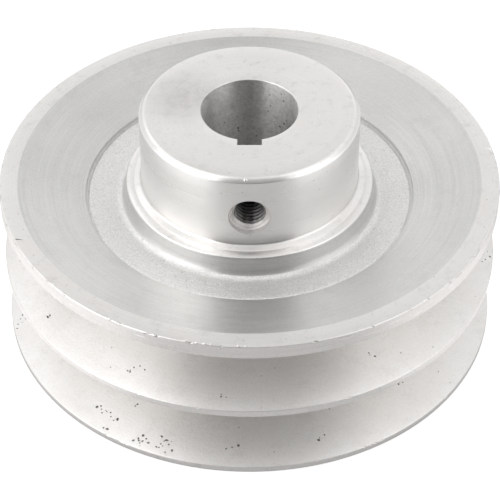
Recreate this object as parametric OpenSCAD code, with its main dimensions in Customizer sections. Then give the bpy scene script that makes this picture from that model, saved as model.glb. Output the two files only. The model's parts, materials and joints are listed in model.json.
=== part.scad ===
// Two-groove V belt pulley: an aluminium casting turned all over its working faces, with a raised hub, a keyed
// through bore and one radial set screw that bears on the key.
// Frame: origin on the bore axis at the resting face under the rim, +Z up along the bore towards the hub,
// the keyway and the set screw on the -Y side. Millimetres.

/* [Rim] */
// Outside diameter of the rim flanges
rim_d = 100; // [90:0.5:110]
// Width of the rim from face to face
rim_h = 34; // [32:0.5:38]
// Land above the upper groove
lip_top = 2.9; // [2:0.1:4]
// Land between the two grooves
ridge_w = 1.45; // [1:0.05:3]
// Width of a groove at the rim
groove_w = 14.05; // [13:0.05:15]
// Angle between the two flanks of a groove, degrees
groove_angle = 36; // [32:1:40]
// Depth of a groove from the rim
groove_depth = 12.4; // [11:0.1:13]
// Width of the flat outer ring of the upper face
ring_w = 3.6; // [3:0.1:6]
// Small turned bevel on the rim edges
edge_c = 0.5; // [0.3:0.05:1]

/* [Web] */
// Radius where the turned dish meets the step
dish_r = 32.95; // [31:0.05:36]
// Depth of the turned dish at its inner edge
dish_z = 3.95; // [3:0.05:6]
// Radius of the foot of the step
step_r = 32.1; // [30:0.1:33]
// Depth of the unmachined annulus at the step
cast_z = 4.55; // [4:0.05:7]
// Depth of the unmachined annulus next to the hub
cast_in_z = 5.25; // [4:0.05:7]
// Thickness of the web under the annulus
web_t = 6.5; // [5:0.1:9]

/* [Hub] */
// Diameter of the turned hub
hub_d = 43.4; // [40:0.1:46]
// Height of the hub above the rim face
hub_up = 16; // [14:0.1:18]
// Bevel on the hub's upper edge
hub_c = 0.9; // [0.5:0.1:1.5]
// Radius of the unmachined collar at the foot of the hub
collar_r = 24.8; // [23:0.1:26]
// Depth of the collar's upper edge below the rim face
collar_z = 0.95; // [0.6:0.05:2]
// Fillet where the collar meets the web
collar_f = 1.6; // [1:0.1:2]

/* [Bore and keyway] */
// Shaft bore diameter
bore_d = 19.1; // [19:0.05:20]
// Width of the keyway
key_w = 4.75; // [4:0.05:6]
// Distance from the bore axis to the keyway floor
key_r = 11.1; // [10.8:0.05:12]
// Bevel round the mouths of the bore
bore_c = 0.35; // [0.2:0.05:0.6]

/* [Underside] */
// Radius of the hub at the lower end
boss_r = 21.5; // [20:0.1:24]
// Inner radius of the rim at the lower end
pocket_r = 33.6; // [32:0.1:35]
// Draft of the pocket walls, as a change of radius
draft = 0.8; // [0.4:0.1:1.5]
// Rounding at the bottom of the pocket
pocket_f = 2.0; // [1:0.1:3]

/* [Set screw] */
// Outside diameter of the thread
screw_d = 6; // [5:1:8]
// Clearance between the hole and the screw
thread_gap = 0.1; // [0.05:0.01:0.16]
// Length of the set screw
screw_len = 4; // [4:1:8]
// Height of the tapped hole above the rim face
screw_up = 6.7; // [5:0.1:8]
// Diameter of the countersink at the hub
sink_d = 7.9; // [7:0.1:9]
// Depth of the screw's tip past the keyway floor
tip_in = 0.5; // [0:0.1:1]
// Hexagon socket, across its flats
hex_af = 3; // [2.5:0.5:4]
// Depth of the hexagon socket
hex_deep = 2.2; // [1.5:0.1:3]

/* [Hidden] */
eps = 0.02;
rim_r = rim_d / 2;
hub_r = hub_d / 2;
bore_r = bore_d / 2;
hole_r = screw_d / 2;
screw_r = (screw_d - thread_gap) / 2;
top_z = rim_h + hub_up;
screw_z = rim_h + screw_up;
floor_w = groove_w - 2 * groove_depth * tan(groove_angle / 2);
groove_r = rim_r - groove_depth;
g1 = rim_h - lip_top - groove_w / 2;
g2 = g1 - groove_w - ridge_w;
under_z = rim_h - cast_in_z - web_t;
tip_r = key_r - tip_in;
fn_big = 160;

// Half section of the solid of revolution, bore and grooves left for later.
module outline() {
    polygon([
        [0, 0],
        [boss_r - edge_c, 0],
        [boss_r, edge_c],
        [boss_r + draft, under_z - pocket_f],
        [boss_r + draft + pocket_f, under_z],
        [pocket_r - draft - pocket_f, under_z],
        [pocket_r - draft, under_z - pocket_f],
        [pocket_r, edge_c],
        [pocket_r + edge_c, 0],
        [rim_r - edge_c, 0],
        [rim_r, edge_c],
        [rim_r, rim_h - edge_c],
        [rim_r - edge_c, rim_h],
        [rim_r - ring_w, rim_h],
        [dish_r, rim_h - dish_z],
        [step_r, rim_h - cast_z],
        [collar_r + collar_f, rim_h - cast_in_z],
        [collar_r + collar_f * 0.3, rim_h - cast_in_z + collar_f * 0.3],
        [collar_r, rim_h - cast_in_z + collar_f],
        [collar_r, rim_h - collar_z],
        [hub_r, rim_h],
        [hub_r, top_z - hub_c],
        [hub_r - hub_c, top_z],
        [0, top_z]
    ]);
}

// Section of one V groove, its mouth running a little past the rim.
module groove(z) {
    over = 1;
    grow = over * tan(groove_angle / 2);
    polygon([
        [groove_r, z - floor_w / 2],
        [rim_r + over, z - groove_w / 2 - grow],
        [rim_r + over, z + groove_w / 2 + grow],
        [groove_r, z + floor_w / 2]
    ]);
}

module bore_cut() {
    translate([0, 0, -1]) cylinder(h = top_z + 2, r = bore_r, $fn = fn_big);
    translate([0, 0, top_z - bore_c])
        cylinder(h = bore_c + eps, r1 = bore_r, r2 = bore_r + bore_c + eps, $fn = fn_big);
    translate([0, 0, -eps])
        cylinder(h = bore_c + eps, r1 = bore_r + bore_c + eps, r2 = bore_r, $fn = fn_big);
    translate([-key_w / 2, -key_r, -1]) cube([key_w, key_r, top_z + 2]);
}

// The tapped hole stands for its thread's outside diameter, with a bevelled mouth on the hub.
module screw_hole() {
    translate([0, -key_r + 3, screw_z]) rotate([90, 0, 0]) cylinder(h = hub_r + 2, r = hole_r, $fn = 64);
    translate([0, -hub_r + (sink_d - screw_d) / 2 + 0.55, screw_z]) rotate([90, 0, 0])
        cylinder(h = 2.5, r1 = hole_r - 0.3, r2 = hole_r + 2.2, $fn = 64);
}

module casting() {
    color([0.77, 0.77, 0.76])
    difference() {
        rotate_extrude($fn = fn_big) difference() {
            outline();
            groove(g1);
            groove(g2);
        }
        bore_cut();
        screw_hole();
    }
}

// Socket set screw with a cup point, its tip towards the bore and its socket facing out.
module set_screw() {
    color([0.16, 0.16, 0.17])
    translate([0, -tip_r, screw_z]) rotate([90, 0, 0])
    difference() {
        union() {
            cylinder(h = 0.7, r1 = screw_r - 0.7, r2 = screw_r, $fn = 64);
            translate([0, 0, 0.7]) cylinder(h = screw_len - 1.1, r = screw_r, $fn = 64);
            translate([0, 0, screw_len - 0.4]) cylinder(h = 0.4, r1 = screw_r, r2 = screw_r - 0.4, $fn = 64);
        }
        translate([0, 0, -eps]) cylinder(h = 0.7, r1 = 1.4, r2 = 0.7, $fn = 64);
        translate([0, 0, screw_len - hex_deep])
            linear_extrude(height = hex_deep + 1) circle(d = hex_af / cos(30), $fn = 6);
    }
}

casting();
set_screw();
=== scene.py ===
import json
import math
import random

import bpy
import bmesh
import numpy as np
from mathutils import Matrix, Vector, noise


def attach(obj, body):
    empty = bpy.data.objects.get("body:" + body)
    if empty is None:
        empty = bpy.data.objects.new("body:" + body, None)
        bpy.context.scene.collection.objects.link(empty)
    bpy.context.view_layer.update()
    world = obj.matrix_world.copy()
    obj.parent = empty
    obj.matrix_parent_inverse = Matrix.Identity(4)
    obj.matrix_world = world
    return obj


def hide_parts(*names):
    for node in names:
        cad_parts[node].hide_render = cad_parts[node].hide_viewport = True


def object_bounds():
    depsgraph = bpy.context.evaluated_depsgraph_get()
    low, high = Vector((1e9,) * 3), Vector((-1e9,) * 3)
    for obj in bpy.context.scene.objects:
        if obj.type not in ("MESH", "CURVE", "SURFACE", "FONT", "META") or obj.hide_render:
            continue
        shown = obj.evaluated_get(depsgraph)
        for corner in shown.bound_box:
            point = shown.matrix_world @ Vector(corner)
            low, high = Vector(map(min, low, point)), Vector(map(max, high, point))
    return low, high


# Two-groove V belt pulley: one aluminium casting, turned on its working faces, and a socket set screw in a
# radial tapped hole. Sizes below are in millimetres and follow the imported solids.

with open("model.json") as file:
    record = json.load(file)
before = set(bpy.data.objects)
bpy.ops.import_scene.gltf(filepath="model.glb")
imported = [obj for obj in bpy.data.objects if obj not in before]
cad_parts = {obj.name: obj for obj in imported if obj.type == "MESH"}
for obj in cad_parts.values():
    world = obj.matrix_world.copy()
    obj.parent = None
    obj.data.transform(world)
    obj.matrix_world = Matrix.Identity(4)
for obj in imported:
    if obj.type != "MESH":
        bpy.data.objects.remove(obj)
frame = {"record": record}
cad_lo, cad_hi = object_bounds()
MM = 0.001

rim_r = (cad_hi.x - cad_lo.x) / 2 / MM
if abs(rim_r - 50) < 0.05:
    rim_r = 50.0
top_z = round(cad_hi.z / MM, 3)
mounts = {m["name"]: m for m in frame["record"]["mounts"]}
bore_r = mounts["shaft_bore"]["dims"]["r_mm"]
rim_h = 34.0
hub_r, hub_c = 21.7, 0.9            # hub, and the bevel on its upper edge
lip_top, groove_w, ridge_w, groove_deep, groove_half = 2.9, 14.05, 1.45, 12.4, math.radians(18)
ring_w, dish_r, dish_z, step_r, cast_z, cast_in_z = 3.6, 32.95, 3.95, 32.1, 4.55, 5.25
relief = 0.26                       # depth of the fine groove at the foot of the step
collar_r, collar_z = 24.8, 0.95
boss_r, pocket_r, draft = 21.5, 33.6, 0.8
under_z = rim_h - cast_in_z - 6.5
groove_low = rim_h - lip_top - 2 * groove_w - ridge_w   # lower edge of the lower groove
key_w, key_r, bore_c = 4.75, 11.1, 0.1
screw_z = rim_h + 6.7
tip_r, screw_len, pitch, crest_r = 10.6, 4.0, 1.0, 3.08
edge_fine = 0.1                     # rounding of the sharpest turned edges
AROUND = 250                        # steps round the casting
CREASE = math.radians(32)           # a sharper edge than this isn't smoothed over
VIEW_LIFT = 41.75                   # the photo's viewing angle above the horizon, in degrees

TURNED, WEB, CAST, FLANK, LIP, BORE, THREAD = range(7)


# ---------------------------------------------------------------- camera and studio
cam_data = bpy.data.cameras.new("camera")
cam = bpy.data.objects.new("camera", cam_data)
bpy.context.scene.collection.objects.link(cam)
bpy.context.scene.camera = cam
cam_data.sensor_width = 36.0
cam_data.lens = 2057 * 36.0 / 500
cam_data.shift_x = 0.001
cam_data.clip_start, cam_data.clip_end = 0.01, 10
cam.location = (0, -6.360 * rim_r * MM, (rim_h + 5.260 * rim_r) * MM)
cam.rotation_euler = (math.radians(90 - VIEW_LIFT), 0, 0)

scene = bpy.context.scene
scene.view_settings.view_transform = "Standard"
scene.view_settings.look = "None"


class Nodes:
    """Short hand for building a node tree."""

    def __init__(self, tree):
        self.tree = tree
        tree.nodes.clear()

    def new(self, kind, **sets):
        n = self.tree.nodes.new(kind)
        for k, v in sets.items():
            setattr(n, k, v)
        return n

    def link(self, a, b, out=0, into=0):
        self.tree.links.new(a.outputs[out], b.inputs[into])
        return b

    def math(self, op, a, b=None):
        n = self.new("ShaderNodeMath", operation=op)
        for i, v in enumerate((a, b)):
            if v is None:
                continue
            if isinstance(v, (int, float)):
                n.inputs[i].default_value = v
            else:
                self.tree.links.new(v, n.inputs[i])
        return n.outputs[0]

    def noise(self, vector, scale, detail=3.0, rough=0.5):
        n = self.new("ShaderNodeTexNoise")
        n.inputs["Scale"].default_value = scale
        n.inputs["Detail"].default_value = detail
        n.inputs["Roughness"].default_value = rough
        self.tree.links.new(vector, n.inputs["Vector"])
        return n.outputs["Fac"]

    def spread(self, value, lo, hi, to_lo=0.0, to_hi=1.0, smooth=False):
        n = self.new("ShaderNodeMapRange", clamp=True, interpolation_type="SMOOTHSTEP" if smooth else "LINEAR")
        self.tree.links.new(value, n.inputs[0])
        for i, v in enumerate((lo, hi, to_lo, to_hi)):
            n.inputs[i + 1].default_value = v
        return n.outputs[0]

    def mix(self, fac, a, b):
        n = self.new("ShaderNodeMix", data_type="RGBA", blend_type="MIX")
        for sock, v in ((n.inputs["Factor"], fac), (n.inputs[6], a), (n.inputs[7], b)):
            if isinstance(v, (int, float)):
                sock.default_value = v
            elif isinstance(v, tuple):
                sock.default_value = (*v, 1.0) if len(v) == 3 else v
            else:
                self.tree.links.new(v, sock)
        return n.outputs[2]


# The light tent: bands of height and sectors around the object, in degrees, azimuth 0 towards the camera and
# growing to the right. Each number is the brightness of that wall, one row for each band, the lowest first.
# The levels began as a fit to the photograph's brightness and were then rounded and changed.
BANDS = (12, 30, 50, 70)
SECTORS = (-150, -95, -36, 44, 95, 150)
TENT = (            # back, back left, left, front, right, back right
    (1.4, 1.0, 2.2, 0.1, 1.5, 1.1),
    (1.5, 1.2, 2.5, 0.1, 1.5, 1.1),
    (1.1, 1.9, 2.9, 0.15, 2.0, 1.4),
    (0.8, 1.1, 2.7, 0.8, 2.0, 1.2),
)
CEILING = 1.25
EDGE = 6.0          # softness of the walls' edges, in degrees
# What the floor gives back to the object, in the same sectors, and close to the rim.
GLOW = (0.5, 0.9, 1.45, 0.68, 1.4, 0.8)
NEAR_GLOW = 0.72


def sectors(t, x, y):
    """How far each sector's edge has been passed, from the direction (x, y)."""
    turn = t.math("MULTIPLY", t.math("ARCTAN2", x, t.math("MULTIPLY", y, -1.0)), 180 / math.pi)
    return [t.spread(turn, a - EDGE, a + EDGE, smooth=True) for a in SECTORS]


def around(t, past, row):
    """The brightness of a row of sectors."""
    level = row[0]
    for a, b, c in zip(past, row, row[1:] + row[:1]):
        if c != b:
            level = t.math("ADD", level, t.math("MULTIPLY", a, c - b))
    return level


def tent(walls, ceiling):
    """The world: soft-edged walls of light all round. A row of walls goes back, back left, left, front, right,
    back right; the front one is the gap that the camera looks through."""
    world = bpy.data.worlds.new("light_tent")
    scene.world = world
    world.use_nodes = True
    t = Nodes(world.node_tree)
    co = t.new("ShaderNodeTexCoord")
    xyz = t.new("ShaderNodeSeparateXYZ")
    t.link(co, xyz, 0, 0)
    x, y, z = xyz.outputs
    lift = t.math("MULTIPLY", t.math("ARCSINE", z), 180 / math.pi)
    past = sectors(t, x, y)
    over = [t.spread(lift, a - EDGE, a + EDGE, smooth=True) for a in BANDS]
    level = None
    for k, row in enumerate(walls):
        here = t.math("SUBTRACT", 1.0, over[k]) if k == 0 else t.math("SUBTRACT", over[k - 1], over[k])
        part = t.math("MULTIPLY", here, around(t, past, row))
        level = part if level is None else t.math("ADD", level, part)
    level = t.math("ADD", level, t.math("MULTIPLY", over[-1], ceiling))
    back = t.new("ShaderNodeBackground")
    t.tree.links.new(level, back.inputs["Strength"])
    out = t.new("ShaderNodeOutputWorld")
    t.link(back, out)


def floor(glow):
    """A pale table that shows next to no shadow. The camera sees it plain and pale. Other rays meet a glow that
    follows the tent's sectors and fades out under the object, so the floor in the picture isn't what lights it."""
    size = 1.6
    mesh = bpy.data.meshes.new("floor")
    mesh.from_pydata([(-size, -size, -0.00003), (size, -size, -0.00003), (size, size, -0.00003),
                      (-size, size, -0.00003)], [], [(0, 1, 2, 3)])
    obj = bpy.data.objects.new("floor", mesh)
    scene.collection.objects.link(obj)
    m = bpy.data.materials.new("pale_floor")
    m.use_nodes = True
    t = Nodes(m.node_tree)
    co = t.new("ShaderNodeTexCoord")
    n = t.noise(co.outputs["Object"], 40.0, 4.0)
    sh = t.new("ShaderNodeBsdfPrincipled")
    sh.inputs["Roughness"].default_value = 0.9
    sh.inputs["Specular IOR Level"].default_value = 0.1
    sh.inputs["Emission Strength"].default_value = 0.8
    sh.inputs["Emission Color"].default_value = (1, 1, 1, 1)
    t.tree.links.new(t.mix(n, (0.40, 0.40, 0.40), (0.41, 0.41, 0.41)), sh.inputs["Base Color"])
    xyz = t.new("ShaderNodeSeparateXYZ")
    t.link(co, xyz, 3, 0)
    give = t.new("ShaderNodeEmission")
    x, y = xyz.outputs[0], xyz.outputs[1]
    away = t.math("SQRT", t.math("ADD", t.math("MULTIPLY", x, x), t.math("MULTIPLY", y, y)))
    far = t.spread(away, rim_r * MM, (rim_r + 14) * MM, smooth=True)
    beyond = t.math("SUBTRACT", around(t, sectors(t, x, y), glow), NEAR_GLOW)
    level = t.math("ADD", t.math("MULTIPLY", far, beyond), NEAR_GLOW)
    clear = t.spread(away, (rim_r - 9) * MM, (rim_r + 6) * MM, smooth=True)
    t.tree.links.new(t.math("MULTIPLY", clear, level), give.inputs["Strength"])
    path = t.new("ShaderNodeLightPath")
    pick = t.new("ShaderNodeMixShader")
    t.link(path, pick, 0, 0)
    t.link(give, pick, 0, 1)
    t.link(sh, pick, 0, 2)
    out = t.new("ShaderNodeOutputMaterial")
    t.link(pick, out)
    mesh.materials.append(m)


# ---------------------------------------------------------------- materials
def polar(t):
    """The position in mm, a function for coordinates that run across and along the turning marks, and r and z."""
    co = t.new("ShaderNodeTexCoord")
    mm = t.new("ShaderNodeVectorMath", operation="SCALE")
    mm.inputs["Scale"].default_value = 1000.0
    t.tree.links.new(co.outputs["Object"], mm.inputs[0])
    xyz = t.new("ShaderNodeSeparateXYZ")
    t.link(mm, xyz)
    x, y, z = xyz.outputs
    r = t.math("SQRT", t.math("ADD", t.math("MULTIPLY", x, x), t.math("MULTIPLY", y, y)))
    across = t.math("ADD", r, t.math("MULTIPLY", z, 1.37))
    ux, uy = t.math("DIVIDE", x, r), t.math("DIVIDE", y, r)

    def lanes(fine, around):
        c = t.new("ShaderNodeCombineXYZ")
        t.tree.links.new(t.math("MULTIPLY", across, fine), c.inputs[0])
        t.tree.links.new(t.math("MULTIPLY", ux, around), c.inputs[1])
        t.tree.links.new(t.math("MULTIPLY", uy, around), c.inputs[2])
        return c.outputs[0]

    return mm.outputs[0], lanes, r, z


def near(t, mm, place, reach):
    """1 at a place, in mm, falling to 0 at a distance."""
    gap = t.new("ShaderNodeVectorMath", operation="DISTANCE")
    t.tree.links.new(mm, gap.inputs[0])
    gap.inputs[1].default_value = place
    return t.spread(gap.outputs["Value"], 0.0, reach, 1.0, 0.0, smooth=True)


def specks(t, mm, scale, size, share):
    """Sparse round spots, 1 in the middle of each and 0 outside."""
    v = t.new("ShaderNodeTexVoronoi", feature="F1")
    v.inputs["Scale"].default_value = scale
    v.inputs["Randomness"].default_value = 1.0
    t.tree.links.new(mm, v.inputs["Vector"])
    dot = t.spread(v.outputs["Distance"], size * 0.45, size, 1.0, 0.0)
    pick = t.new("ShaderNodeSeparateColor")
    t.link(v, pick, 1, 0)
    keep = t.math("LESS_THAN", pick.outputs[0], share)
    return t.math("MULTIPLY", dot, keep)


def finish_metal(t, base, rough, height, amount, distance, aniso, turned=True, metallic=1.0):
    """The shader that all the metals share. On turned faces the gloss spreads across the turning marks."""
    bump = t.new("ShaderNodeBump")
    bump.inputs["Strength"].default_value = amount
    bump.inputs["Distance"].default_value = distance
    t.tree.links.new(height, bump.inputs["Height"])
    sh = t.new("ShaderNodeBsdfPrincipled")
    sh.inputs["Metallic"].default_value = metallic
    sh.inputs["Anisotropic"].default_value = aniso
    t.tree.links.new(base, sh.inputs["Base Color"])
    t.tree.links.new(rough, sh.inputs["Roughness"])
    t.tree.links.new(bump.outputs[0], sh.inputs["Normal"])
    if turned:
        tan = t.new("ShaderNodeTangent", direction_type="RADIAL", axis="Z")
        t.tree.links.new(tan.outputs[0], sh.inputs["Tangent"])
        sh.inputs["Anisotropic Rotation"].default_value = 0.25
    out = t.new("ShaderNodeOutputMaterial")
    t.link(sh, out)


def turned_metal():
    """The bright faces: rim ring, shoulder and hub, finely turned. The hub's wall gets a lighter colour as painted
    light.
    """
    m = bpy.data.materials.new("turned_aluminium")
    m.use_nodes = True
    t = Nodes(m.node_tree)
    mm, lanes, r, z = polar(t)
    fine = t.noise(lanes(3.4, 0.8), 1.0, 3.0, 0.62)
    broad = t.noise(lanes(0.55, 0.7), 1.0, 2.0, 0.5)
    cloud = t.noise(mm, 0.07, 4.0, 0.6)
    grain = t.noise(mm, 2.6, 3.0, 0.62)
    stain = t.noise(mm, 0.42, 5.0, 0.7)
    pit = specks(t, mm, 0.75, 0.12, 0.22)
    base = t.mix(t.spread(cloud, 0.36, 0.64), (0.80, 0.775, 0.752), (0.815, 0.808, 0.795))
    base = t.mix(t.spread(fine, 0.36, 0.66, 0.0, 0.3), base, (0.71, 0.692, 0.675))
    base = t.mix(t.spread(grain, 0.36, 0.7, 0.0, 0.4), base, (0.88, 0.872, 0.86))
    base = t.mix(t.spread(stain, 0.54, 0.72, 0.0, 0.34), base, (0.48, 0.463, 0.45))
    # painted light: the hub's wall is given a lighter colour that stands in for the light falling on it
    wall = t.math("MULTIPLY", t.spread(z, rim_h + 0.2, rim_h + 0.6), t.spread(r, hub_r - 0.3, hub_r - 0.1))
    base = t.mix(t.math("MULTIPLY", wall, 0.75), base, (0.95, 0.94, 0.93))
    smudge = t.math("MULTIPLY", near(t, mm, (-13, 4, top_z), 12), t.spread(stain, 0.3, 0.6, 0.35, 0.75))
    base = t.mix(smudge, base, (0.55, 0.532, 0.52))
    base = t.mix(t.math("MULTIPLY", pit, 0.6), base, (0.25, 0.243, 0.236))
    rough = t.math("ADD", t.spread(broad, 0.3, 0.7, 0.27, 0.32), t.spread(fine, 0.3, 0.7, -0.02, 0.04))
    h = t.math("ADD", t.math("MULTIPLY", fine, 0.5), t.math("MULTIPLY", grain, 0.5))
    h = t.math("SUBTRACT", h, t.math("MULTIPLY", pit, 1.4))
    finish_metal(t, base, rough, h, 0.5, 0.00002, 0.6, metallic=0.92)
    return m


def web_metal():
    """The sunken face between rim and hub: greyer, with plain lathe lines."""
    m = bpy.data.materials.new("lathe_lined_aluminium")
    m.use_nodes = True
    t = Nodes(m.node_tree)
    mm, lanes, r, z = polar(t)
    fine = t.noise(lanes(3.0, 1.6), 1.0, 4.0, 0.66)
    broad = t.noise(lanes(0.5, 0.9), 1.0, 2.0, 0.5)
    cloud = t.noise(mm, 0.055, 4.0, 0.6)
    grain = t.noise(mm, 2.2, 3.0, 0.62)
    smear = t.noise(mm, 0.2, 5.0, 0.65)
    base = t.mix(t.spread(cloud, 0.36, 0.64), (0.655, 0.652, 0.642), (0.70, 0.696, 0.684))
    base = t.mix(t.spread(fine, 0.34, 0.68, 0.0, 0.42), base, (0.55, 0.545, 0.537))
    base = t.mix(t.spread(grain, 0.4, 0.72, 0.0, 0.35), base, (0.80, 0.796, 0.782))
    base = t.mix(t.spread(smear, 0.54, 0.72, 0.0, 0.22), base, (0.47, 0.465, 0.456))
    rough = t.math("ADD", t.spread(broad, 0.3, 0.7, 0.38, 0.46), t.spread(fine, 0.3, 0.7, -0.04, 0.07))
    h = t.math("ADD", t.math("MULTIPLY", fine, 0.7), t.math("MULTIPLY", grain, 0.6))
    finish_metal(t, base, rough, h, 0.5, 0.000025, 0.76)
    return m


def cast_skin():
    """What the lathe left alone: the sandy skin around the collar and underneath."""
    m = bpy.data.materials.new("cast_aluminium_skin")
    m.use_nodes = True
    t = Nodes(m.node_tree)
    mm, lanes, r, z = polar(t)
    grain = t.noise(mm, 2.7, 4.0, 0.68)
    spark = t.noise(mm, 3.9, 3.0, 0.65)
    coarse = t.noise(mm, 0.8, 2.0, 0.5)
    cloud = t.noise(mm, 0.12, 2.0, 0.5)
    pit = specks(t, mm, 0.9, 0.16, 0.3)
    base = t.mix(t.spread(cloud, 0.3, 0.7), (0.76, 0.755, 0.745), (0.81, 0.806, 0.796))
    base = t.mix(t.spread(grain, 0.34, 0.58, 0.6, 0.0), base, (0.56, 0.555, 0.546))
    base = t.mix(t.spread(spark, 0.55, 0.68, 0.0, 0.9), base, (0.93, 0.925, 0.915))
    base = t.mix(t.math("MULTIPLY", pit, 0.6), base, (0.30, 0.296, 0.29))
    rough = t.spread(coarse, 0.3, 0.7, 0.44, 0.56)
    h = t.math("ADD", t.math("MULTIPLY", grain, 1.3), t.math("MULTIPLY", coarse, 1.2))
    h = t.math("SUBTRACT", h, t.math("MULTIPLY", pit, 0.8))
    finish_metal(t, base, rough, h, 0.9, 0.00008, 0.0, turned=False, metallic=0.9)
    return m


def flank_metal():
    """The groove flanks: satin and faintly grainy."""
    m = bpy.data.materials.new("groove_flank_aluminium")
    m.use_nodes = True
    t = Nodes(m.node_tree)
    mm, lanes, r, z = polar(t)
    fine = t.noise(lanes(2.6, 2.2), 1.0, 3.0, 0.6)
    grain = t.noise(mm, 2.4, 4.0, 0.66)
    cloud = t.noise(mm, 0.13, 4.0, 0.6)
    mottle = t.noise(mm, 0.3, 5.0, 0.7)
    pit = specks(t, mm, 0.45, 0.1, 0.22)
    base = t.mix(t.spread(cloud, 0.35, 0.65), (0.83, 0.81, 0.79), (0.86, 0.85, 0.838))
    base = t.mix(t.spread(grain, 0.40, 0.66, 0.0, 0.5), base, (0.75, 0.734, 0.718))
    base = t.mix(t.spread(mottle, 0.54, 0.74, 0.0, 0.35), base, (0.64, 0.624, 0.61))
    base = t.mix(t.math("MULTIPLY", pit, 0.7), base, (0.27, 0.263, 0.256))
    rough = t.spread(grain, 0.3, 0.7, 0.32, 0.40)
    h = t.math("ADD", t.math("MULTIPLY", grain, 1.2), t.math("MULTIPLY", fine, 0.5))
    h = t.math("SUBTRACT", h, t.math("MULTIPLY", pit, 1.2))
    finish_metal(t, base, rough, h, 0.7, 0.00004, 0.78, metallic=0.85)
    return m


def lip_metal():
    """The narrow lips that get handled and knocked: duller than the turned faces, with fine drag lines."""
    m = bpy.data.materials.new("rubbed_aluminium")
    m.use_nodes = True
    t = Nodes(m.node_tree)
    mm, lanes, r, z = polar(t)
    fine = t.noise(lanes(5.0, 2.4), 1.0, 4.0, 0.7)
    grain = t.noise(mm, 2.2, 4.0, 0.66)
    stain = t.noise(mm, 0.5, 5.0, 0.7)
    base = t.mix(t.spread(grain, 0.36, 0.66), (0.70, 0.678, 0.664), (0.77, 0.75, 0.735))
    base = t.mix(t.spread(fine, 0.5, 0.7, 0.0, 0.5), base, (0.55, 0.532, 0.52))
    base = t.mix(t.spread(stain, 0.56, 0.74, 0.0, 0.35), base, (0.45, 0.435, 0.425))
    rough = t.spread(grain, 0.3, 0.7, 0.48, 0.58)
    h = t.math("ADD", t.math("MULTIPLY", fine, 0.8), t.math("MULTIPLY", grain, 0.7))
    finish_metal(t, base, rough, h, 0.7, 0.00004, 0.2, metallic=0.7)
    return m


def bore_metal():
    """The bore and keyway: bored dry, dull and stained."""
    m = bpy.data.materials.new("bored_aluminium")
    m.use_nodes = True
    t = Nodes(m.node_tree)
    mm, lanes, r, z = polar(t)
    fine = t.noise(lanes(2.2, 0.8), 1.0, 3.0, 0.6)
    grain = t.noise(mm, 1.5, 5.0, 0.68)
    stain = t.noise(mm, 0.35, 4.0, 0.65)
    pit = specks(t, mm, 0.8, 0.2, 0.3)
    base = t.mix(t.spread(grain, 0.34, 0.66), (0.72, 0.712, 0.698), (0.93, 0.922, 0.908))
    base = t.mix(t.spread(stain, 0.5, 0.72, 0.0, 0.45), base, (0.46, 0.453, 0.442))
    base = t.mix(t.math("MULTIPLY", pit, 0.85), base, (0.11, 0.108, 0.104))
    rough = t.spread(grain, 0.3, 0.7, 0.38, 0.48)
    h = t.math("ADD", t.math("MULTIPLY", fine, 0.7), t.math("MULTIPLY", grain, 0.9))
    h = t.math("SUBTRACT", h, t.math("MULTIPLY", pit, 1.4))
    finish_metal(t, base, rough, h, 0.6, 0.00005, 0.9, metallic=0.95)
    return m


def thread_metal():
    """The thread and the inside of the pores: rough, with a dark base that is painted shade for the inside of the
    tapped hole and the pores.
    """
    m = bpy.data.materials.new("tapped_aluminium_painted_shade")
    m.use_nodes = True
    t = Nodes(m.node_tree)
    mm, lanes, r, z = polar(t)
    grain = t.noise(mm, 4.0, 4.0, 0.65)
    coarse = t.noise(mm, 1.1, 3.0, 0.6)
    # painted shade: this dark base stands in for the shade deep in the tapped hole and inside the pores
    base = t.mix(t.spread(coarse, 0.35, 0.65), (0.17, 0.166, 0.162), (0.30, 0.295, 0.289))
    base = t.mix(t.spread(grain, 0.55, 0.7, 0.0, 0.4), base, (0.55, 0.542, 0.534))
    rough = t.spread(grain, 0.3, 0.7, 0.36, 0.5)
    finish_metal(t, base, rough, grain, 0.5, 0.00004, 0.0, turned=False)
    return m


def black_steel():
    """The set screw."""
    m = bpy.data.materials.new("black_oxide_steel")
    m.use_nodes = True
    t = Nodes(m.node_tree)
    mm, lanes, r, z = polar(t)
    grain = t.noise(mm, 4.0, 3.0, 0.6)
    cloud = t.noise(mm, 0.9, 2.0, 0.5)
    base = t.mix(t.spread(cloud, 0.3, 0.7), (0.052, 0.052, 0.056), (0.085, 0.083, 0.082))
    base = t.mix(t.spread(grain, 0.62, 0.72, 0.0, 0.45), base, (0.24, 0.235, 0.23))
    rough = t.spread(grain, 0.3, 0.7, 0.34, 0.48)
    finish_metal(t, base, rough, grain, 0.35, 0.00003, 0.0, turned=False, metallic=0.85)
    return m


# ---------------------------------------------------------------- shapes
def rounded(corners):
    """A closed outline from corners (r, z, radius, surface of the side that follows), as points and sides."""
    n = len(corners)
    pts, kinds = [], []
    for i, (r, z, rad, kind) in enumerate(corners):
        p = Vector((r, z))
        a = Vector(corners[i - 1][:2]) - p
        b = Vector(corners[(i + 1) % n][:2]) - p
        la, lb = a.length, b.length
        a.normalize(); b.normalize()
        before = corners[i - 1][3]
        if rad <= 0:
            pts.append(p)
            kinds.append(kind)
            continue
        half = math.acos(max(-1, min(1, a.dot(b)))) / 2
        back = min(rad / math.tan(half), la * 0.49, lb * 0.49)
        rad = back * math.tan(half)
        turn = math.pi - 2 * half
        centre = p + (a + b).normalized() * (rad / math.sin(half))
        start = p + a * back - centre
        end = p + b * back - centre
        steps = max(2, int(round(turn / math.radians(16))))
        full = math.atan2(start.x * end.y - start.y * end.x, start.dot(end))
        for k in range(steps + 1):
            w = full * k / steps
            q = Vector((start.x * math.cos(w) - start.y * math.sin(w),
                        start.x * math.sin(w) + start.y * math.cos(w)))
            pts.append(centre + q)
            kinds.append(kind if k == steps else (kind if k >= steps / 2 else before))
    return pts, kinds


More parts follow.
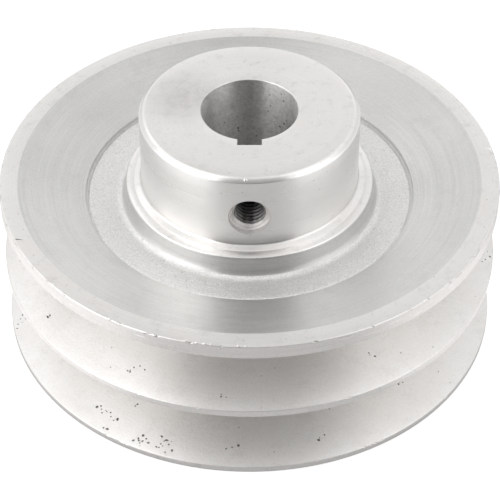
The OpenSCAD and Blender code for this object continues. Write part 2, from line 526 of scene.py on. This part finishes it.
def split(pts, kinds, longest):
    """Adds points to long sides: longest gives the most that a side of each surface may measure."""
    out, ok = [], []
    n = len(pts)
    for i in range(n):
        a, b = pts[i], pts[(i + 1) % n]
        k = max(1, math.ceil((b - a).length / longest[kinds[i]]))
        for j in range(k):
            out.append(a.lerp(b, j / k))
            ok.append(kinds[i])
    return out, ok


def new_object(name, mesh):
    obj = bpy.data.objects.new(name, mesh)
    scene.collection.objects.link(obj)
    return obj


def casting_blank():
    """The casting as turned, before keyway and tapped hole: its outline swept about the bore axis."""
    tan = math.tan(groove_half)
    floor_w = groove_w - 2 * groove_deep * tan
    groove_r = rim_r - groove_deep
    slope = groove_deep * tan
    upper = groove_low + groove_w + ridge_w
    c = [
        (bore_r + bore_c, 0, edge_fine, TURNED),
        (boss_r - 0.5, 0, 0.25, TURNED), (boss_r, 0.5, 0.25, CAST),
        (boss_r + draft, under_z, 2.6, CAST), (pocket_r - draft, under_z, 2.6, CAST),
        (pocket_r, 0.5, 0.25, TURNED), (pocket_r + 0.5, 0, 0.2, TURNED),
        (rim_r - 0.35, 0, 0.2, LIP), (rim_r, 0.35, 0.2, LIP),
        (rim_r, groove_low, 0.28, FLANK),
        (groove_r, groove_low + slope, 0.8, FLANK),
        (groove_r, groove_low + slope + floor_w, 0.8, FLANK),
        (rim_r, groove_low + groove_w, 0.25, LIP),
        (rim_r, upper, 0.3, FLANK),
        (groove_r, upper + slope, 0.8, FLANK),
        (groove_r, upper + slope + floor_w, 0.8, FLANK),
        (rim_r, rim_h - lip_top, 0.2, LIP),
        (rim_r, rim_h, 0.34, TURNED),
        (rim_r - ring_w, rim_h, 0.2, WEB),
        (dish_r + 0.05, rim_h - dish_z, 0.2, WEB),
        (dish_r - 0.02, rim_h - cast_z - relief, 0.12, WEB),
        (dish_r - 0.34, rim_h - cast_z - relief, 0.15, CAST),
        (step_r + 0.1, rim_h - cast_z, 0.3, CAST),
        # the collar wall takes the web's finish: real lathe lines, and a darker base that is painted shade on this
        # wall
        (collar_r + 0.35, rim_h - cast_in_z, 1.9, WEB),
        (collar_r, rim_h - collar_z, 0.5, TURNED),
        (collar_r - 1.45, rim_h - 0.5, 0, TURNED), (collar_r - 1.6, rim_h - 0.52, 0, TURNED),
        (collar_r - 1.8, rim_h - 0.41, 0, TURNED),
        (hub_r, rim_h - 0.02, 0.7, TURNED),
        (hub_r, top_z - hub_c, 0.2, TURNED), (hub_r - hub_c, top_z, 1.2, TURNED),
        (bore_r + bore_c, top_z, edge_fine, TURNED), (bore_r, top_z - bore_c, edge_fine, BORE),
        (bore_r, bore_c, edge_fine, BORE),
    ]
    pts, kinds = rounded(c)
    pts, kinds = split(pts, kinds, {TURNED: 3.0, WEB: 3.0, CAST: 1.2, FLANK: 3.0, LIP: 3.0, BORE: 5.0})
    n = len(pts)
    ang = np.linspace(0, 2 * math.pi, AROUND, endpoint=False)
    r = np.array([p.x for p in pts])
    z = np.array([p.y for p in pts])
    verts = np.stack([np.outer(np.sin(ang), r), np.outer(-np.cos(ang), r),
                      np.broadcast_to(z, (AROUND, n))], axis=2).reshape(-1, 3)
    # the cast skin is never quite even
    cast = np.array([kinds[i] == CAST and kinds[i - 1] == CAST for i in range(n)])
    prof = np.array([[p.x, p.y] for p in pts])
    side = np.roll(prof, -1, axis=0) - np.roll(prof, 1, axis=0)
    side /= np.linalg.norm(side, axis=1)[:, None]
    nr, nz = side[:, 1], -side[:, 0]
    for i in np.nonzero(cast)[0]:
        for k in range(AROUND):
            v = verts[k * n + i]
            p = Vector(v)
            d = 0.035 * noise.noise(p * 0.9) + 0.05 * noise.noise(p * 0.31 + Vector((7, 3, 1)))
            d -= 0.035
            v[0] += d * nr[i] * math.sin(ang[k])
            v[1] -= d * nr[i] * math.cos(ang[k])
            v[2] += d * nz[i]
    k = np.arange(AROUND)[:, None]
    i = np.arange(n)[None, :]
    k2, i2 = (k + 1) % AROUND, (i + 1) % n
    faces = np.stack([k * n + i, k2 * n + i, k2 * n + i2, k * n + i2], axis=2).reshape(-1, 4)
    mesh = bpy.data.meshes.new("casting_blank")
    mesh.from_pydata((verts * MM).tolist(), [], faces.tolist())
    mesh.polygons.foreach_set("material_index", np.tile(np.array(kinds), AROUND).astype(np.int32))
    mesh.update()
    return mesh


def thread_radius(theta, s, top, slope_gap, minor):
    """Radius of a right-handed 60 degree thread at an angle about the hole and a distance along it."""
    u = (s / pitch - theta / (2 * math.pi)) % 1.0
    u = np.minimum(u, 1.0 - u) * pitch
    return np.clip(top - 1.732 * np.maximum(u - 0.0625 - slope_gap, 0.0), minor, top)


def tube(name, rings, around, radius, kind):
    """A closed solid about the screw's line: rings are distances from the bore axis, radius(theta, s) in mm."""
    th = np.linspace(0, 2 * math.pi, around, endpoint=False)
    verts, faces = [], []
    for s in rings:
        rad = radius(th, s)
        verts += [(rr * math.cos(a), -s, screw_z + rr * math.sin(a)) for rr, a in zip(rad, th)]
    m = len(rings)
    verts += [(0, -rings[0], screw_z), (0, -rings[-1], screw_z)]
    for j in range(m - 1):
        for a in range(around):
            b = (a + 1) % around
            faces.append((j * around + a, j * around + b, (j + 1) * around + b, (j + 1) * around + a))
    for a in range(around):
        b = (a + 1) % around
        faces.append((m * around, b, a))
        faces.append((m * around + 1, (m - 1) * around + a, (m - 1) * around + b))
    mesh = bpy.data.meshes.new(name)
    mesh.from_pydata([tuple(c * MM for c in v) for v in verts], [], faces)
    mesh.polygons.foreach_set("material_index", np.full(len(faces), kind, dtype=np.int32))
    bm = bmesh.new()
    bm.from_mesh(mesh)
    bmesh.ops.recalc_face_normals(bm, faces=bm.faces)
    bm.to_mesh(mesh)
    bm.free()
    return mesh


def cut(obj, cutter_mesh, name, operation="DIFFERENCE"):
    """Takes a closed solid out of obj, or joins it on, and keeps the result as its mesh."""
    tool = new_object(name, cutter_mesh)
    mod = obj.modifiers.new(name, "BOOLEAN")
    mod.operation = operation
    mod.object = tool
    mod.solver = "MANIFOLD"
    deps = bpy.context.evaluated_depsgraph_get()
    deps.update()
    done = bpy.data.meshes.new_from_object(obj.evaluated_get(deps), preserve_all_data_layers=True, depsgraph=deps)
    obj.modifiers.clear()
    old = obj.data
    obj.data = done
    bpy.data.objects.remove(tool)
    bpy.data.meshes.remove(cutter_mesh)
    bpy.data.meshes.remove(old)


def box_mesh(lo, hi, kind, bevel):
    """A box between two corners in mm, with its upright edges rounded off."""
    bm = bmesh.new()
    bmesh.ops.create_cube(bm, size=1.0)
    for v in bm.verts:
        for i in range(3):
            v.co[i] = (lo[i] if v.co[i] < 0 else hi[i]) * MM
    upright = [e for e in bm.edges if abs(e.verts[0].co.z - e.verts[1].co.z) > 0.01]
    bmesh.ops.bevel(bm, geom=upright, offset=bevel * MM, segments=2, affect="EDGES", profile=0.5)
    bmesh.ops.recalc_face_normals(bm, faces=bm.faces)
    for f in bm.faces:
        f.material_index = kind
    mesh = bpy.data.meshes.new("box")
    bm.to_mesh(mesh)
    bm.free()
    return mesh


def dents(marks, kind):
    """Little hollows left by knocks and by gas in the metal: (place, half sizes along, across and deep, turn)."""
    bm = bmesh.new()
    for place, half, turn in marks:
        m = Matrix.Translation(Vector(place) * MM) @ turn.to_4x4() @ Matrix.Diagonal((*[h * MM for h in half], 1))
        made = bmesh.ops.create_icosphere(bm, subdivisions=2, radius=1.0, matrix=m)
        for v in made["verts"]:
            v.co += noise.noise_vector(v.co * 2200) * 0.00002
    for f in bm.faces:
        f.material_index = kind
    mesh = bpy.data.meshes.new("dents")
    bm.to_mesh(mesh)
    bm.free()
    return mesh


def on_rim(az, r, z, tilt):
    """A place at an angle from the keyway and a frame there: x along the rim, y across it, z outwards and up."""
    a = math.radians(az)
    along = Vector((math.cos(a), math.sin(a), 0))
    out = Vector((math.sin(a), -math.cos(a), 0))
    up = (out * math.cos(math.radians(tilt)) + Vector((0, 0, 1)) * math.sin(math.radians(tilt))).normalized()
    side = up.cross(along)
    return Vector((r * math.sin(a), -r * math.cos(a), z)), Matrix((along, side, up)).transposed()


def wear_marks():
    """Scuffs, burrs, gas pores and pores of the bore, each as a list for dents()."""
    rng = random.Random(11)
    marks, burrs, pits, bores = [], [], [], []

    def add(to, az, r, z, tilt, half, spin=0):
        place, turn = on_rim(az, r, z, tilt)
        to.append((place, half, turn @ Matrix.Rotation(math.radians(spin), 3, "Z")))

    edge = rim_r - 0.16
    low = groove_low
    # scuffs along the upper rim edge, first the plain ones in front, then all round it
    for az, long in ((-30, 1.7), (-29, 0.8), (-21.5, 1.5), (-20, 0.7), (-12.5, 0.6), (-6, 0.4),
                     (14, 0.9), (27, 0.6)):
        add(marks, az, edge, rim_h - 0.2, 45, (long, 0.22, 0.17), rng.uniform(-4, 4))
    for _ in range(30):
        add(marks, rng.uniform(32, 322), edge, rim_h - 0.16, 45,
            (rng.uniform(0.3, 1.5), rng.uniform(0.1, 0.24), rng.uniform(0.1, 0.17)), rng.uniform(-12, 12))
    # thin drag lines along the lip
    for az, down, long in ((9, 0.9, 2.4), (16, 1.3, 3.2), (21, 0.8, 2.2), (27, 1.6, 2.6), (33, 1.1, 2.8),
                           (39, 2.0, 1.8), (-24, 1.2, 1.6), (-41, 1.5, 2.0)):
        add(marks, az, rim_r, rim_h - down, 0, (long, 0.09, 0.05), rng.uniform(-1.2, 1.2))
    for _ in range(24):
        add(marks, rng.uniform(45, 315), rim_r, rim_h - rng.uniform(0.9, 2.6), 0,
            (rng.uniform(0.8, 3.0), 0.08, 0.045), rng.uniform(-1.5, 1.5))
    # burrs standing on the edges
    for az, long in ((-31.5, 0.5), (-28, 0.35), (-13.5, 0.5), (-11.2, 0.4), (-9.4, 0.55), (-8.1, 0.3), (-2.2, 0.45),
                     (-0.6, 0.4), (41, 0.5)):
        add(burrs, az, rim_r - 0.3, rim_h - 0.04, 60, (long, 0.2, 0.12), rng.uniform(-25, 25))
    add(burrs, -2.0, hub_r - 0.55, top_z - 0.34, 55, (0.42, 0.42, 0.26), 20)
    for _ in range(16):
        add(burrs, rng.uniform(50, 318), rim_r - 0.34, rim_h - 0.05, 60,
            (rng.uniform(0.2, 0.55), rng.uniform(0.12, 0.2), 0.1), rng.uniform(-30, 30))
    # the ridge, the lower rim edge and the hub's upper edge
    for z, tilt, count in ((low + groove_w + 0.1, -30, 18), (low + groove_w + ridge_w - 0.1, 40, 26),
                           (low - 0.1, 40, 24), (0.12, -45, 18)):
        for _ in range(count):
            add(marks, rng.uniform(0, 360), rim_r - 0.07, z, tilt,
                (rng.uniform(0.25, 1.3), rng.uniform(0.1, 0.24), rng.uniform(0.08, 0.15)),
                rng.uniform(-14, 14))
    for az in (-52, -44, -38, -20, 12, 33):
        add(marks, az, hub_r - 0.3, top_z - 0.3, 48,
            (rng.uniform(0.25, 0.7), rng.uniform(0.1, 0.18), 0.12), rng.uniform(-30, 30))
    for _ in range(9):
        add(marks, rng.uniform(50, 310), hub_r - 0.3, top_z - 0.3, 48,
            (rng.uniform(0.25, 0.8), rng.uniform(0.1, 0.2), 0.12), rng.uniform(-30, 30))
    # gas pores on the flanks, in little families
    tan = math.tan(groove_half)
    lows = (low, low + groove_w + ridge_w)
    pores = [(-31.8, 41.9, 0), (-34.1, 46.3, 0), (-34.8, 48.9, 0), (-26.8, 48.1, 0), (-26.1, 47.2, 0),
             (-20.2, 46.7, 0), (-18.1, 48.4, 0), (-2.7, 45.6, 0), (-6.5, 47.2, 1), (-26.3, 45.1, 1),
             (17, 46.0, 0), (33, 44.2, 1)]
    pores += [(rng.uniform(40, 320), rng.uniform(40, 49.3), rng.randint(0, 1)) for _ in range(24)]
    for az, r, g in pores:
        w = rng.uniform(0.2, 0.36)
        for k in range(rng.randint(2, 6)):
            add(pits, az, r, lows[g] + (rim_r - r) * tan, 72,
                (w * rng.uniform(0.8, 1.5), w * rng.uniform(0.6, 1.0), w * 0.8), rng.uniform(0, 180))
            az, r = az + rng.uniform(-1.9, 1.9), min(49.4, max(39.5, r + rng.uniform(-0.9, 0.9)))
            w = rng.uniform(0.11, 0.22)
    # ticks across the collar's foot
    for az, r in ((-25, 27.3), (38, 25.9), (-74, 27.2), (-71, 27.4), (-68, 27.1), (110, 27.0), (171, 27.3)):
        add(marks, az, r, rim_h - cast_in_z + 0.04, 90, (0.07, 0.75, 0.16), rng.uniform(-16, 16))
    for _ in range(54):
        az, z, w = rng.uniform(18, 342), rng.uniform(2, top_z - 0.8), rng.uniform(0.1, 0.26)
        add(bores, az, bore_r, z, 0, (w, w * rng.uniform(0.7, 1.4), w * 0.8))
    return marks, burrs, pits, bores


def build_casting():
    mesh = casting_blank()
    mats = (turned_metal(), web_metal(), cast_skin(), flank_metal(), lip_metal(), bore_metal(),
            thread_metal())
    for m in mats:
        mesh.materials.append(m)
    obj = new_object("casting_turned", mesh)

    def ready(m):
        for k in mats:
            m.materials.append(k)
        return m

    cut(obj, ready(box_mesh((-key_w / 2, -key_r, -1), (key_w / 2, -5, top_z + 1), BORE, 0.12)), "keyway")

    def hole(th, s):
        wall = thread_radius(th, s, crest_r + 0.05, 0.03, 2.7)
        if s < 19.6:
            return wall
        lead = 3.12 + (s - 20.1) * 0.9 + (0.16 if s > 20.42 else 0.0) + 0.03 * np.sin(5 * th + 9 * s)
        return np.maximum(wall, lead if s < 20.76 else 3.96 + (s - 20.76) * 0.25)

    mouth = [20.41, 20.43, 20.6, 20.74, 20.77, 21.0, 21.4, 21.8, 24.0]
    rings = list(np.arange(7.6, 20.4, pitch / 12)) + mouth
    # the hole's inside takes the thread's dark base, which is painted shade
    cut(obj, ready(tube("tapped_hole", rings, 72, hole, THREAD)), "tapped_hole")
    marks, burrs, pits, bores = wear_marks()
    cut(obj, ready(dents(burrs, TURNED)), "burrs", "UNION")
    cut(obj, ready(dents(marks, FLANK)), "marks")
    # the pores take the thread's dark base too, painted shade inside them
    cut(obj, ready(dents(pits, THREAD)), "pits")
    cut(obj, ready(dents(bores, THREAD)), "pores")
    mesh = obj.data
    mesh.name = "casting_turned"
    # the countersink is as bright as the lips and keeps none of the thread's painted shade
    for f in mesh.polygons:
        x, y, z = f.center / MM
        if f.material_index == THREAD and y < -19.9 and abs(x) < 5 and z > rim_h:
            f.material_index = LIP
    mesh.shade_smooth()
    mesh.set_sharp_from_angle(angle=CREASE)
    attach(obj, "pulley")
    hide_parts("casting")
    return obj


def build_screw():
    end, out = tip_r, tip_r + screw_len

    def body(th, s):
        wall = thread_radius(th, s, crest_r, 0.0, 2.62)
        return np.minimum(np.minimum(wall, 2.1 + (s - end) * 1.4), 2.6 + (out - s))

    rings = list(np.linspace(end, out, 56))
    mesh = tube("set_screw_threaded", rings, 80, body, 0)
    metal = black_steel()
    mesh.materials.append(metal)
    obj = new_object("set_screw_threaded", mesh)

    def cone(th, s):
        return np.full_like(th, max(0.05, 1.45 - (s - end) * 1.0))

    cup = tube("cup", [end - 0.3, end, end + 0.35, end + 0.7, end + 1.1], 48, cone, 0)
    cup.materials.append(metal)
    cut(obj, cup, "cup")

    def hexagon(th, s):
        flat = 1.5 / np.cos((th + math.pi / 6) % (math.pi / 3) - math.pi / 6)
        depth = out - s
        if depth > 2.2:
            return np.maximum(0.05, np.minimum(flat, 1.5 - (depth - 2.2) * 2.2))
        return np.maximum(flat, 1.75 - depth * 1.2)

    key = tube("socket", [out - 2.8, out - 2.5, out - 2.2, out - 1.2, out - 0.25, out - 0.1, out, out + 0.3], 96,
               hexagon, 0)
    key.materials.append(metal)
    cut(obj, key, "socket")
    obj.data.shade_smooth()
    obj.data.set_sharp_from_angle(angle=CREASE)
    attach(obj, "screw")
    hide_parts("set_screw")
    return obj


tent(TENT, CEILING)
floor(GLOW)
build_casting()
build_screw()
